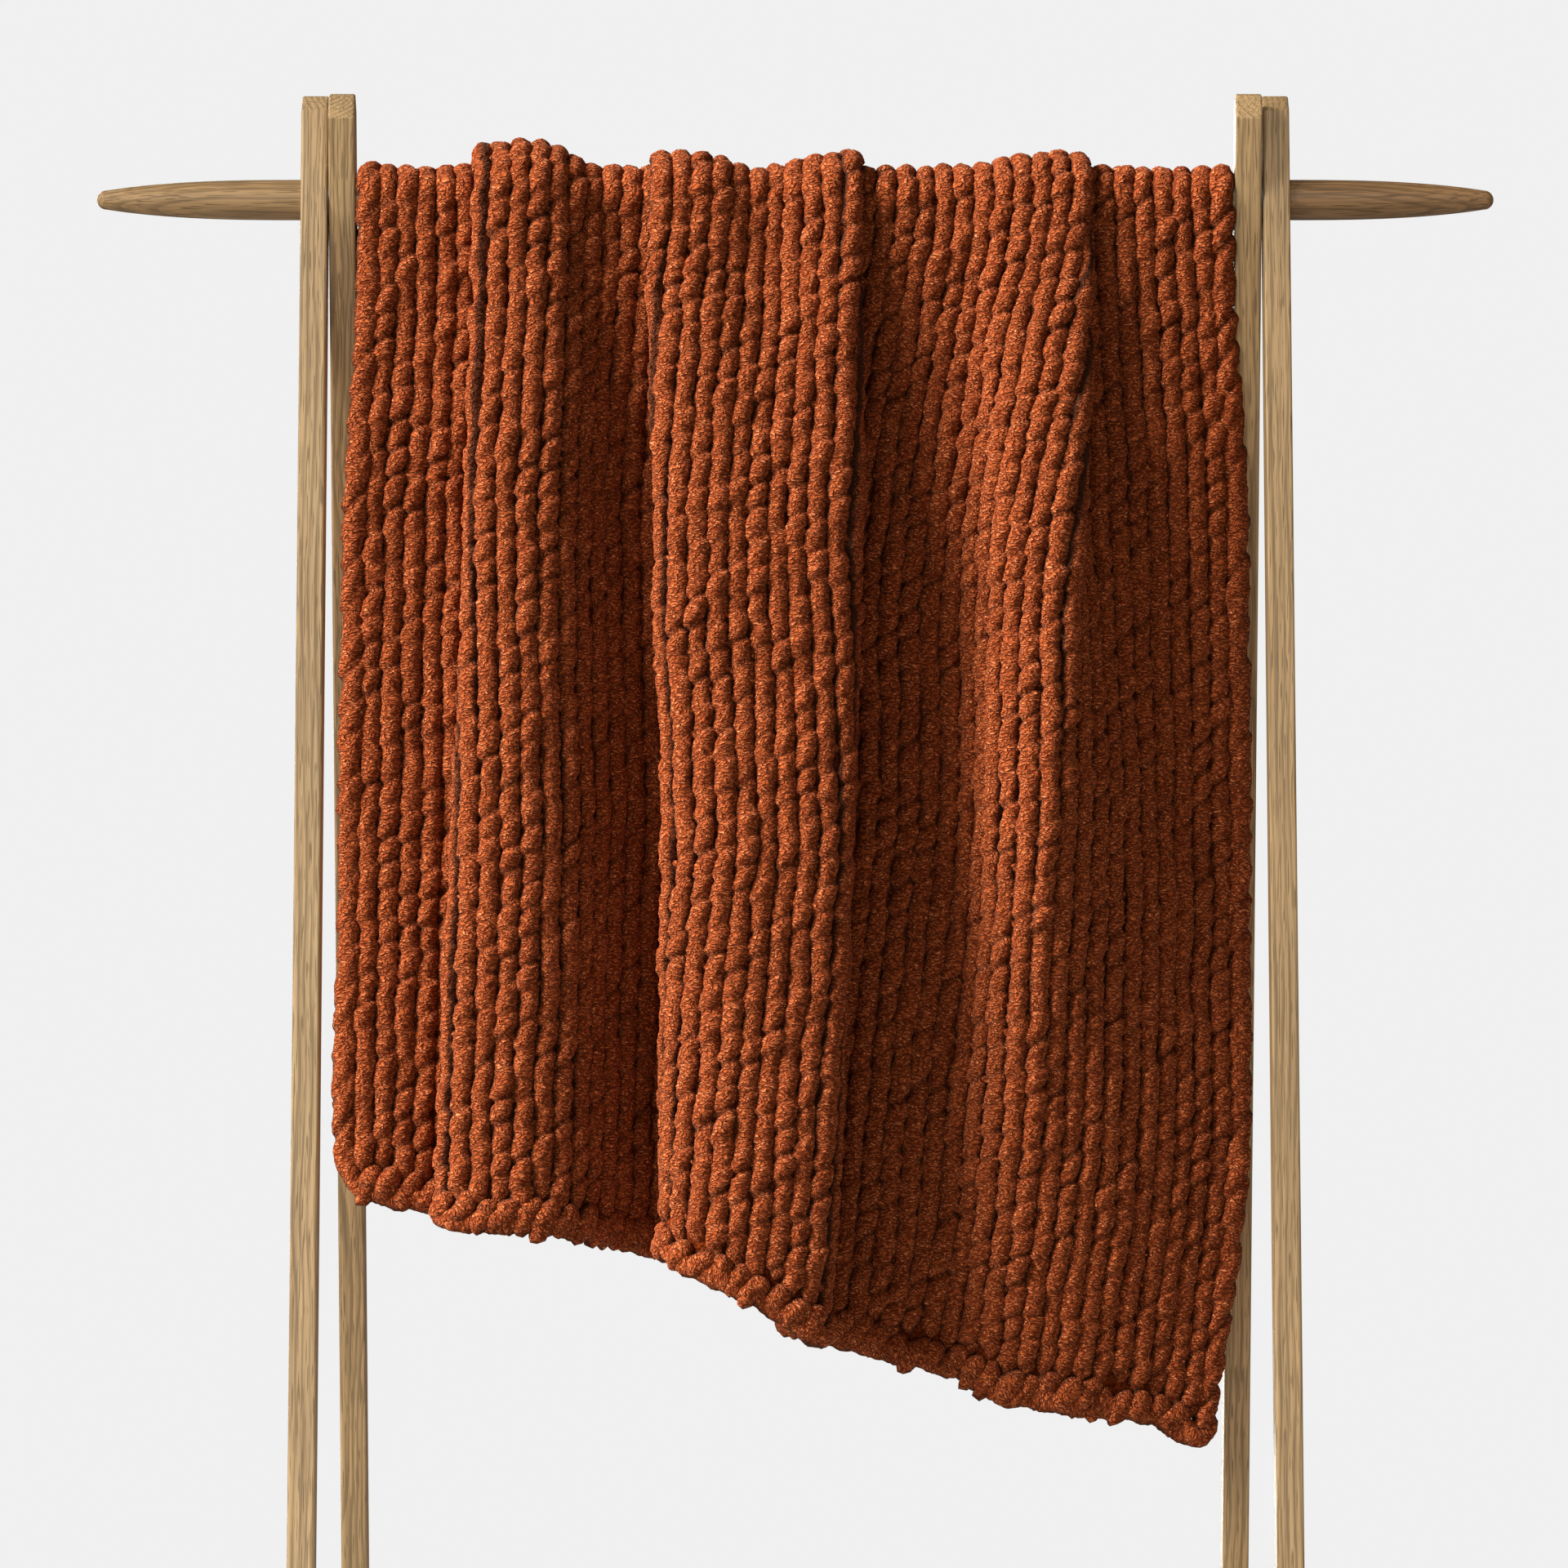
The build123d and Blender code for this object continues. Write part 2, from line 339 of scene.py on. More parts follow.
def layThrow():
    # the cloth's middle surface as rows down the front, over the bar and down the back
    keys = throw["keys"]
    step = throw["rowStep"]
    drops = np.arange(0, throw["drops"][-1] + step, step)
    xs = np.array([np.interp(drops, throw["drops"], k[0]) for k in keys]).T
    depths = np.array([np.interp(drops, throw["drops"], k[1]) for k in keys]).T
    flare, flareTop, flareEnd = throw["edgeFlare"]
    edgeStart, edgeWidth = throw["edgeFrom"]
    outer = np.clip((np.abs(xs) - edgeStart) / edgeWidth, 0, 1)
    lower = np.clip((drops - flareTop) / (flareEnd - flareTop), 0, 1)[:, None]
    xs = smoothRows(xs + np.sign(xs) * flare * outer * lower, throw["smoothReach"])
    depths = smoothRows(depths, throw["smoothReach"])
    hems = np.array([k[2] for k in keys])
    columns = throw["wales"] * 2 + 1
    evenly = np.linspace(0, 1, columns)

    def section(x, depth):
        line = cutCorners(np.stack([x, depth, hems], axis=1))
        along = distancesAlong(line[:, :2])
        return np.stack([np.interp(evenly * along[-1], along, part) for part in line.T], axis=1), along[-1]

    random = np.random.default_rng(throw["seed"])
    front, widths = zip(*[section(x, d) for x, d in zip(xs, depths)])
    front = np.array(front)
    print(f"the cloth measures {min(widths):.3f} to {max(widths):.3f} m along its folds")
    ease = np.clip(drops / throw["wanderFrom"], 0, 1)[:, None]
    front[:, :, 1] += throw["wander"] * ease * waves(random, front.shape[:2], throw["wanderSize"])
    top, _ = section(xs[0], depths[0])
    hem = front[-1, :, 2]

    def place(x, depth, height):
        return np.stack([x, -depth, barHeight + height], axis=-1)

    rows = [
        place(front[k, :, 0], front[k, :, 1], np.full(columns, -drops[k]))
        for k in reversed(range(len(drops)))
    ]
    for k in range(1, throw["arcSteps"]):
        angle = math.pi * k / throw["arcSteps"]
        rows.append(place(top[:, 0], top[:, 1] * math.cos(angle), top[:, 1] * math.sin(angle)))
    opening, openingDrop = throw["backDepth"]
    for drop in np.arange(0, throw["backLength"], step):
        spread = 1 + (opening - 1) * min(drop / openingDrop, 1)
        depth = top[0, 1] + (top[:, 1] - top[0, 1]) * spread
        rows.append(place(top[:, 0], -depth, np.full(columns, -drop)))
    return np.array(rows), hem, len(drops)


def trimThrow(grid, hem, frontRows):
    # every column starts at its hem and is as long as the cloth; the result has columns by rows
    step = throw["rowStep"]
    distances = np.arange(0, throw["flat"][1] + step / 2, step)
    columns = []
    for k in range(grid.shape[1]):
        line = grid[:, k]
        along = distancesAlong(line)
        start = np.interp(barHeight - hem[k], line[:frontRows, 2], along[:frontRows])
        columns.append([np.interp(start + distances, along, part) for part in line.T])
    return np.array(columns).transpose(2, 0, 1)


def unit(vectors):
    return vectors / np.maximum(np.linalg.norm(vectors, axis=-1, keepdims=True), 1e-9)


def sampleCloth(values, across, along):
    # values at places on the cloth: across runs from 0 at the left to 1 at the right, and along
    # is metres from the front hem
    column = np.clip(np.asarray(across) * (values.shape[1] - 1), 0, values.shape[1] - 1.001)
    row = np.clip(np.asarray(along) / throw["rowStep"], 0, values.shape[0] - 1.001)
    c, r = column.astype(int), row.astype(int)
    fc, fr = (column - c)[:, None], (row - r)[:, None]
    lower = values[r, c] * (1 - fc) + values[r, c + 1] * fc
    upper = values[r + 1, c] * (1 - fc) + values[r + 1, c + 1] * fc
    return lower * (1 - fr) + upper * fr


def pathOnCloth(cloth, across, along, shift, taper=1.0, lift=0.0):
    # what a rope needs to follow a path on the cloth
    outward = unit(sampleCloth(cloth["outs"], across, along))
    points = sampleCloth(cloth["points"], across, along) + outward * lift
    return {
        "points": points,
        "outward": outward,
        "side": unit(np.cross(unit(np.gradient(points, axis=0)), outward)),
        "distance": distancesAlong(points),
        "shift": np.full(len(points), shift),
        "taper": taper * np.ones(len(points)),
    }


def linesObject(name, lines):
    mesh = bpy.data.meshes.new(name)
    edges, start = [], 0
    for line in lines:
        edges += [(start + k, start + k + 1) for k in range(len(line["points"]) - 1)]
        start += len(line["points"])
    mesh.from_pydata(np.concatenate([line["points"] for line in lines]).tolist(), edges, [])
    for label, kind, key in (
        ("clothSide", "FLOAT_VECTOR", "side"),
        ("clothNormal", "FLOAT_VECTOR", "outward"),
        ("alongRope", "FLOAT", "distance"),
        ("ropeShift", "FLOAT", "shift"),
        ("ropeTaper", "FLOAT", "taper"),
    ):
        values = np.concatenate([line[key] for line in lines]).astype(np.float32).ravel()
        field = "vector" if kind == "FLOAT_VECTOR" else "value"
        mesh.attributes.new(label, kind, "POINT").data.foreach_set(field, values)
    made = bpy.data.objects.new(name, mesh)
    bpy.context.scene.collection.objects.link(made)
    return made


def ropeTree():
    tree, given, result = newGroup("chenilleRope", "GeometryNodeTree", (
        ("Geometry", "Geometry", None),
        ("Rope Width", "Float", 0.02),
        ("Flatness", "Float", 0.62),
        ("Corners", "Int", 16),
        ("Wobble", "Float", 0.003),
        ("Wobble Length", "Float", 0.12),
        ("Stitch Length", "Float", 0.027),
        ("Stitch Slant", "Float", 0.5),
        ("Stitch Lean", "Float", 0.0025),
        ("Stitch Shift", "Float", 0.001),
        ("Stitch Rise", "Float", 0.001),
        ("Stitch Swell", "Float", 0.1),
        ("Pinch", "Float", 0.2),
        ("Rare Creases", "Float", 1.5),
        ("Lump Size", "Float", 0.03),
        ("Lump Height", "Float", 0.2),
        ("Pile Size", "Float", 0.006),
        ("Pile Height", "Float", 0.0008),
        ("Seed", "Int", 1),
        ("Material", "Material", None),
    ), (("Geometry", "Geometry"),))

    def named(name, kind="FLOAT_VECTOR"):
        return addNode(tree, "GeometryNodeInputNamedAttribute", {"Name": name}, data_type=kind).outputs[0]

    def store(geometry, name, value, kind="FLOAT"):
        return addNode(tree, "GeometryNodeStoreNamedAttribute", {
            "Geometry": geometry, "Name": name, "Value": value,
        }, data_type=kind, domain="POINT").outputs[0]

    def noise(vector, size, detail=0.0):
        moved = vectorMaths(tree, "ADD", vector, seedShift)
        return noiseTexture(tree, moved, maths(tree, "DIVIDE", 1.0, size), detail)

    def perStitch(number, spread):
        # a random value and colour for each stitch, where ropes with another shift have others
        place = combined(tree, number, maths(tree, "MULTIPLY", shift, spread))
        return addNode(tree, "ShaderNodeTexWhiteNoise", {"Vector": place}, noise_dimensions="3D").outputs

    side, outward = named("clothSide"), named("clothNormal")
    along, shift = named("alongRope", "FLOAT"), named("ropeShift", "FLOAT")
    seedShift = maths(tree, "MULTIPLY", given["Seed"], 0.37)
    position = addNode(tree, "GeometryNodeInputPosition").outputs[0]

    # the line wanders, then becomes a rope that remembers its middle
    swing = separated(tree, noise(position, given["Wobble Length"], 1.0)["Color"])
    halfWobble = maths(tree, "MULTIPLY", given["Wobble"], 0.5)
    sideways = vectorMaths(tree, "SCALE", side, centred(tree, swing[0], given["Wobble"]))
    outwards = vectorMaths(tree, "SCALE", outward, centred(tree, swing[1], halfWobble))
    wobbled = addNode(tree, "GeometryNodeSetPosition", {
        "Geometry": given["Geometry"], "Offset": vectorMaths(tree, "ADD", sideways, outwards),
    }).outputs[0]
    curve = addNode(tree, "GeometryNodeMeshToCurve", {0: wobbled}).outputs[0]
    curve = store(curve, "ropeCentre", position, "FLOAT_VECTOR")
    radius = maths(tree, "MULTIPLY", given["Rope Width"], 0.5)
    profile = addNode(tree, "GeometryNodeCurvePrimitiveCircle", {
        "Resolution": given["Corners"], "Radius": radius,
    }).outputs[0]
    rope = addNode(tree, "GeometryNodeCurveToMesh", {
        "Curve": curve, "Profile Curve": profile, "Fill Caps": True,
    }).outputs[0]

    centre = named("ropeCentre")
    offset = vectorMaths(tree, "SUBTRACT", position, centre)
    across = maths(tree, "DIVIDE", vectorMaths(tree, "DOT_PRODUCT", offset, side), radius)
    through = maths(tree, "DIVIDE", vectorMaths(tree, "DOT_PRODUCT", offset, outward), radius)

    # each stitch leans, and meets the next in a slanting crease that may be deep or hardly there
    halfSlant = maths(tree, "MULTIPLY", given["Stitch Slant"], 0.5)
    uneven = maths(tree, "MULTIPLY", given["Stitch Length"], 1.6)
    stitch = maths(tree, "DIVIDE", along, given["Stitch Length"])
    stitch = maths(tree, "ADD", stitch, maths(tree, "MULTIPLY", shift, 0.5))
    stitch = maths(tree, "SUBTRACT", stitch, maths(tree, "MULTIPLY", across, halfSlant))
    stitch = maths(tree, "ADD", stitch, centred(tree, noise(centre, uneven)[0], 0.35))
    fromCrease = maths(tree, "ABSOLUTE", centred(tree, maths(tree, "FRACT", stitch), 1.0))
    crease = remap(tree, fromCrease, 0.0, 0.46, 1.0, 0.0)
    fullness = maths(tree, "SUBTRACT", 1.0, crease)

    # between two creases a stitch has its own shift, rise and swell
    middle = maths(tree, "ADD", stitch, 0.5)
    bean = separated(tree, perStitch(maths(tree, "FLOOR", middle), 91.0)["Color"])
    lean = centred(tree, maths(tree, "FRACT", middle), given["Stitch Lean"])
    lean = maths(tree, "ADD", lean, centred(tree, bean[0], given["Stitch Shift"]))
    lean = maths(tree, "MULTIPLY", lean, fullness)
    rise = maths(tree, "MULTIPLY", centred(tree, bean[1], given["Stitch Rise"]), fullness)
    swell = maths(tree, "MULTIPLY", centred(tree, bean[2], given["Stitch Swell"]), fullness)

    depth = perStitch(maths(tree, "FLOOR", stitch), 57.0)[0]
    depth = maths(tree, "POWER", depth, given["Rare Creases"])
    crease = maths(tree, "MULTIPLY", crease, maths(tree, "MULTIPLY_ADD", depth, 0.85, 0.15))
    size = maths(tree, "ADD", swell, 1.0)
    size = maths(tree, "SUBTRACT", size, maths(tree, "MULTIPLY", crease, given["Pinch"]))
    lumps = noise(position, given["Lump Size"], 1.0)[0]
    size = maths(tree, "ADD", size, centred(tree, lumps, given["Lump Height"]))
    pile = noise(position, given["Pile Size"], 1.0)[0]
    pileHeight = maths(tree, "DIVIDE", given["Pile Height"], radius)
    size = maths(tree, "ADD", size, centred(tree, pile, pileHeight))
    size = maths(tree, "MULTIPLY", maths(tree, "MULTIPLY", size, radius), named("ropeTaper", "FLOAT"))

    newAcross = vectorMaths(tree, "SCALE", side, maths(tree, "MULTIPLY_ADD", across, size, lean))
    flatten = maths(tree, "MULTIPLY", maths(tree, "MULTIPLY", through, size), given["Flatness"])
    newThrough = vectorMaths(tree, "SCALE", outward, maths(tree, "ADD", flatten, rise))
    place = vectorMaths(tree, "ADD", centre, vectorMaths(tree, "ADD", newAcross, newThrough))

    # for the material: how far a point stands out of the gaps and stitch creases, which the material
    # darkens as painted shade, and where it is on the rope's skin
    outOfPaintedShade = remap(tree, maths(tree, "ABSOLUTE", through), 0.1, 0.8)
    outOfCrease = maths(tree, "SUBTRACT", 1.0, maths(tree, "MULTIPLY", crease, 0.6))
    outOfPaintedShade = maths(tree, "MULTIPLY", outOfPaintedShade, outOfCrease)
    around = maths(tree, "MULTIPLY", maths(tree, "ARCTAN2", through, across), radius)
    skin = combined(tree, along, around, maths(tree, "MULTIPLY", shift, 9.0))
    rope = store(rope, "outOfPaintedShade", outOfPaintedShade)
    rope = store(rope, "skin", skin, "FLOAT_VECTOR")
    rope = addNode(tree, "GeometryNodeSetPosition", {"Geometry": rope, "Position": place}).outputs[0]
    for name in ("ropeCentre", "clothSide", "clothNormal", "alongRope", "ropeShift", "ropeTaper"):
        rope = addNode(tree, "GeometryNodeRemoveAttribute", {"Geometry": rope, "Name": name}).outputs[0]
    rope = addNode(tree, "GeometryNodeSetShadeSmooth", {"Geometry": rope}).outputs[0]
    rope = addNode(tree, "GeometryNodeRealizeInstances", {"Geometry": rope}).outputs[0]
    rope = addNode(tree, "GeometryNodeSetMaterial", {
        "Geometry": rope, "Material": given["Material"],
    }).outputs[0]
    tree.links.new(rope, result["Geometry"])
    return tree


def growRopes(tree, material, name, lines, values):
    source = linesObject(name + "Lines", lines)
    modifier = source.modifiers.new("ropes", "NODES")
    modifier.node_group = tree
    sockets = [item for item in tree.interface.items_tree if item.in_out == "INPUT"]
    identifiers = {item.name: item.identifier for item in sockets}
    for label, value in {**values, "Material": material}.items():
        modifier[identifiers[label]] = value
    graph = bpy.context.evaluated_depsgraph_get()
    mesh = bpy.data.meshes.new_from_object(source.evaluated_get(graph))
    mesh.name = name
    source.modifiers.remove(modifier)
    bpy.data.objects.remove(source)
    made = bpy.data.objects.new(name, mesh)
    bpy.context.scene.collection.objects.link(made)
    print(name, len(mesh.polygons), "faces")
    return made


wale = {
    "Rope Width": 0.0226, "Flatness": 0.86, "Corners": 18, "Wobble": 0.0044, "Wobble Length": 0.09,
    "Stitch Length": 0.0270, "Stitch Slant": 0.42, "Stitch Lean": 0.0018, "Stitch Shift": 0.0012,
    "Stitch Rise": 0.0018, "Stitch Swell": 0.10, "Pinch": 0.34, "Rare Creases": 1.6,
    "Lump Size": 0.024, "Lump Height": 0.20, "Pile Size": 0.0050, "Pile Height": 0.0024, "Seed": 3,
}
waleEnds = {
    "scatter": (-0.016, 0.004),   # where a wale ends, from the hem's second course
    "taper": 0.7,                 # in rope widths
    "thinnest": 0.05,             # of the rope's section
}
borderRope = {
    **wale, "Rope Width": 0.0262, "Wobble": 0.0014, "Stitch Length": 0.034, "Stitch Slant": 0.9,
    "Stitch Shift": 0.0005, "Stitch Swell": 0.06, "Pinch": 0.26, "Rare Creases": 0.9,
    "Lump Height": 0.18, "Seed": 5,
}
castOff = {
    **wale, "Rope Width": 0.0240, "Flatness": 0.92, "Wobble": 0.0040, "Wobble Length": 0.04,
    "Pinch": 0.0, "Stitch Lean": 0.0, "Stitch Swell": 0.0, "Lump Height": 0.34, "Seed": 9,
}
beans = {
    # each cast-off stitch is a slanting bean from one wale to the next, over the border
    "across": (-0.42, 0.78), "acrossEase": 0.28,       # in wales
    "along": (-0.001, 0.034), "alongEase": 0.007,      # in metres from the hem
    "lift": 0.0025, "liftEase": 0.002,
    "points": 15, "bluntness": 3, "narrowing": 0.96,    # of each bean towards its ends
}
rung = {
    **wale, "Rope Width": 0.008, "Flatness": 1.0, "Corners": 6, "Wobble": 0.001, "Pinch": 0.0,
    "Stitch Lean": 0.0, "Stitch Shift": 0.0, "Stitch Rise": 0.0, "Stitch Swell": 0.0, "Seed": 11,
}
border = {
    "inset": 0.011,           # the border rope's middle from the cloth's edge
    "cornerRadius": 0.028,
    "secondCourse": 0.031,    # where the wales meet it
}
backing = {
    "rowsApart": 3,
    "thickness": 0.003,
    "cornerShare": 0.7,       # of the border's corner radius, cut off each corner
}


def borderPath():
    # round the cloth's edge with round corners, in metres across and along the cloth
    width, length = throw["flat"]
    inset, radius = border["inset"], border["cornerRadius"]
    corners = (
        (width - inset - radius, inset + radius, -90),
        (width - inset - radius, length - inset - radius, 0),
        (inset + radius, length - inset - radius, 90),
        (inset + radius, inset + radius, 180),
    )
    points = []
    for x, y, start in corners:
        for turn in np.radians(np.linspace(start, start + 90, 10)):
            points.append((x + radius * math.cos(turn), y + radius * math.sin(turn)))
    points = np.array(points + points[:1])
    along = distancesAlong(points)
    even = np.arange(0, along[-1], throw["rowStep"])
    return np.interp(even, along, points[:, 0]) / width, np.interp(even, along, points[:, 1])


def waleLines(cloth, random):
    # the wales stop short of the hems, where the border takes them in
    lines = []
    for k in range(1, throw["wales"] - 1):
        starts = border["secondCourse"] + random.uniform(*waleEnds["scatter"], 2)
        along = np.arange(starts[0], throw["flat"][1] - starts[1], throw["rowStep"])
        toEnd = np.minimum(along - along[0], along[-1] - along)
        taper = np.sqrt(np.clip(toEnd / (wale["Rope Width"] * waleEnds["taper"]), waleEnds["thinnest"], 1))
        across = np.full(len(along), (k + 0.5) / throw["wales"])
        lines.append(pathOnCloth(cloth, across, along, random.random(), taper))
    return lines


def beanLines(cloth, random):
    lines = []
    part = np.linspace(0, 1, beans["points"])
    taper = np.sqrt(1 - np.abs(2 * part - 1) ** beans["bluntness"] * beans["narrowing"])
    for k in range(1, throw["wales"] - 1):
        for atBack in (False, True):
            reach = np.array(beans["across"]) + random.uniform(-1, 1, 2) * beans["acrossEase"]
            ends = np.array(beans["along"]) + random.uniform(-1, 1, 2) * beans["alongEase"]
            lift = beans["lift"] + random.uniform(-1, 1) * beans["liftEase"]
            across = (k + 0.5 + reach[0] + (reach[1] - reach[0]) * part) / throw["wales"]
            along = ends[0] + (ends[1] - ends[0]) * part
            if atBack:
                along = throw["flat"][1] - along
            lines.append(pathOnCloth(cloth, across, along, random.random(), taper, lift))
    return lines


def rungLines(cloth, random):
    # the yarn that crosses from wale to wale at every stitch
    lines = []
    stitch = wale["Stitch Length"]
    for along in np.arange(stitch * 2, throw["flat"][1] - stitch * 2, stitch):
        for k in range(1, throw["wales"] - 2):
            across = np.linspace(k + 0.5, k + 1.5, 3) / throw["wales"]
            lines.append(pathOnCloth(cloth, across, np.full(3, along), random.random()))
    return lines


def makeBacking(lattice, material):
    # a thin ground behind the ropes, with a column along the middle of each and its corners cut; it is
    # coloured dark as painted shade, seen in the pits between the ropes
    apart = backing["rowsApart"]
    points = lattice[2:-2:apart, 1:-1:2]
    across = points.shape[1]
    lastRow, lastColumn = points.shape[0] - 2, across - 2
    rowSize, columnSize = throw["rowStep"] * apart, throw["flat"][0] / throw["wales"]
    corner = border["cornerRadius"] * backing["cornerShare"]
    faces = [
        (r * across + c, r * across + c + 1, (r + 1) * across + c + 1, (r + 1) * across + c)
        for r in range(lastRow + 1) for c in range(lastColumn + 1)
        if min(r, lastRow - r) * rowSize + min(c, lastColumn - c) * columnSize >= corner
    ]
    mesh = bpy.data.meshes.new("throw_ground")
    mesh.from_pydata(points.reshape(-1, 3).tolist(), [], faces)
    mesh.polygons.foreach_set("use_smooth", [True] * len(mesh.polygons))
    mesh.materials.append(material)
    ground = bpy.data.objects.new("throw_ground", mesh)
    bpy.context.scene.collection.objects.link(ground)
    thickness = ground.modifiers.new("thickness", "SOLIDIFY")
    thickness.thickness = backing["thickness"]
    thickness.offset = 0
    return ground


def knitThrow(ropeFinish, shadeGroundFinish):
    lattice = trimThrow(*layThrow())
    outs = unit(np.cross(np.gradient(lattice, axis=1), np.gradient(lattice, axis=0)))
    cloth = {"points": lattice, "outs": outs}
    grow = partial(growRopes, ropeTree(), ropeFinish)
    random = np.random.default_rng(throw["seed"] + 1)

    lines = waleLines(cloth, random)
    groups = 7                # each a piece of its own, to keep them light
    cuts = [len(lines) * k // groups for k in range(groups + 1)]
    pieces = [grow(f"throw_wales_{k + 1}", lines[cuts[k]:cuts[k + 1]], wale) for k in range(groups)]
    edge = pathOnCloth(cloth, *borderPath(), random.random())
    pieces.append(grow("throw_border", [edge], borderRope))
    pieces.append(grow("throw_cast_off", beanLines(cloth, random), castOff))
    pieces.append(grow("throw_rungs", rungLines(cloth, random), rung))
    return makeBacking(lattice, shadeGroundFinish), pieces


yarn = {
    # the first colour is painted shade where the pile loops meet, the third a painted highlight on the tips
    # of some loops
    "paintedLoopShade": (0.15, 0.022, 0.004, 1),
    "body": (0.48, 0.100, 0.024, 1),
    "tip": (0.92, 0.34, 0.145, 1),
    "loopLength": 0.0038,     # round the rope
    "loopWidth": 0.0019,      # along the rope
    "tangle": 3.6,            # how far the loops stray, in loops
    "paintedShadeInGaps": 0.22,           # painted shade: how much of the colour is left between the ropes and in the creases
    "loopHeight": 0.002,
}


def chenilleMaterial():
    material, tree, shader = newMaterial(
        "chenille", Roughness=0.95, Specular_IOR_Level=0.12,
        Sheen_Weight=0.12, Sheen_Roughness=0.5, Sheen_Tint=(1.0, 0.5, 0.3, 1),
    )
    skin = addNode(tree, "ShaderNodeAttribute", attribute_name="skin").outputs["Vector"]
    outOfPaintedShade = addNode(tree, "ShaderNodeAttribute", attribute_name="outOfPaintedShade").outputs["Fac"]
    scaled = vectorMaths(tree, "MULTIPLY", skin, (1 / yarn["loopWidth"], 1 / yarn["loopLength"], 40.0))
    drift = noiseTexture(tree, scaled, 0.35, 1.0)["Color"]
    loops = vectorMaths(tree, "ADD", scaled, vectorMaths(tree, "SCALE", drift, yarn["tangle"]))
    cells = addNode(tree, "ShaderNodeTexVoronoi", {"Vector": loops, "Scale": 1.0}, feature="F1").outputs
    body = remap(tree, cells["Distance"], 0.25, 0.85, 1.0, 0.0)
    chosen = addNode(tree, "ShaderNodeSeparateColor", {0: cells["Color"]}).outputs[0]
    tips = remap(tree, cells["Distance"], 0.05, 0.45, 1.0, 0.0)
    tips = maths(tree, "MULTIPLY", tips, remap(tree, chosen, 0.35, 0.95))
    # painted shade where the pile loops meet, then painted highlights on the tips of some loops
    colour = mixColour(tree, body, yarn["paintedLoopShade"], yarn["body"])
    colour = mixColour(tree, tips, colour, yarn["tip"])
    # painted shade: the colour darkens between the ropes and in the stitch creases
    paintedShade = remap(tree, outOfPaintedShade, 0.0, 1.0, yarn["paintedShadeInGaps"], 1.0)
    tree.links.new(vectorMaths(tree, "SCALE", colour, paintedShade), shader.inputs["Base Color"])
    tree.links.new(bumpNormal(tree, body, 1.0, yarn["loopHeight"]), shader.inputs["Normal"])
    return material


def shadeGroundMaterial():
    material, tree, shader = newMaterial("chenilleShadeGround", Roughness=1.0, Specular_IOR_Level=0.0)
    # painted shade: the ground is much darker than the yarn, for the shaded inside of the knit
    fuzz = remap(tree, noiseTexture(tree, objectPlace(tree), 300.0, 2.0)[0], 0.35, 0.65)
    colour = mixColour(tree, fuzz, (0.06, 0.009, 0.002, 1), (0.20, 0.036, 0.009, 1))
    tree.links.new(colour, shader.inputs["Base Color"])
    return material


def oakGrain():
    # solid wood with its grain along Z: rings round a far centre, fibre, and pores as short dashes
    tree, given, result = newGroup("oakGrain", "ShaderNodeTree", (
        ("Place", "Vector", None),
        ("Early Wood", "Color", (0.45, 0.31, 0.17, 1)),
        ("Late Wood", "Color", (0.28, 0.18, 0.09, 1)),
        ("Pore Colour", "Color", (0.14, 0.08, 0.035, 1)),
        ("Ring Width", "Float", 0.0036),
        ("Heart", "Vector", (0.05, 0.03, 0.0)),
        ("Ring Strength", "Float", 0.6),
        ("Pore Strength", "Float", 0.7),
    ), (("Colour", "Color"), ("Roughness", "Float"), ("Height", "Float")))

    def grain(stretch, detail=0.0):
        # noise with so many hills to the metre along X, Y and Z
        stretched = vectorMaths(tree, "MULTIPLY", given["Place"], stretch)
        return addNode(tree, "ShaderNodeTexNoise", {
            "Vector": stretched, "Scale": 1.0, "Detail": detail, "Roughness": 0.55,
        }).outputs[0]

    fromHeart = vectorMaths(tree, "SUBTRACT", given["Place"], given["Heart"])
    fromHeart = vectorMaths(tree, "MULTIPLY", fromHeart, (1, 1, 0))
    bend = maths(tree, "MULTIPLY", grain((14, 14, 2.6), 2.0), 0.030)
    radius = maths(tree, "ADD", vectorMaths(tree, "LENGTH", fromHeart), bend)
    ring = maths(tree, "FRACT", maths(tree, "DIVIDE", radius, given["Ring Width"]))
    lateBand = remap(tree, ring, 0.35, 0.85)
    earlyEdge = remap(tree, ring, 0.90, 1.0, 1.0, 0.0)
    late = maths(tree, "MULTIPLY", lateBand, earlyEdge)
    fibre = grain((420, 420, 6), 3.0)
    tone = remap(tree, grain((22, 22, 3.0), 1.0), 0.35, 0.65)
    late = maths(tree, "MULTIPLY", late, given["Ring Strength"])
    darker = maths(tree, "ADD", late, centred(tree, fibre, 1.0))
    darker = maths(tree, "ADD", darker, maths(tree, "MULTIPLY_ADD", tone, 0.34, 0.06))
    darker = remap(tree, darker, 0.0, 1.0, smooth=False)
    colour = mixColour(tree, darker, given["Early Wood"], given["Late Wood"])
    pores = remap(tree, grain((700, 700, 34)), 0.57, 0.70)
    fewer = maths(tree, "SUBTRACT", 1.0, maths(tree, "MULTIPLY", lateBand, 0.6))
    pores = maths(tree, "MULTIPLY", maths(tree, "MULTIPLY", pores, fewer), given["Pore Strength"])
    colour = mixColour(tree, pores, colour, given["Pore Colour"])
    roughness = maths(tree, "MULTIPLY_ADD", pores, 0.2, 0.44)
    roughness = maths(tree, "ADD", maths(tree, "MULTIPLY", fibre, 0.18), roughness)
    height = maths(tree, "SUBTRACT", maths(tree, "MULTIPLY", fibre, 0.5), pores)
    tree.links.new(colour, result["Colour"])
    tree.links.new(roughness, result["Roughness"])
    tree.links.new(height, result["Height"])
    return tree


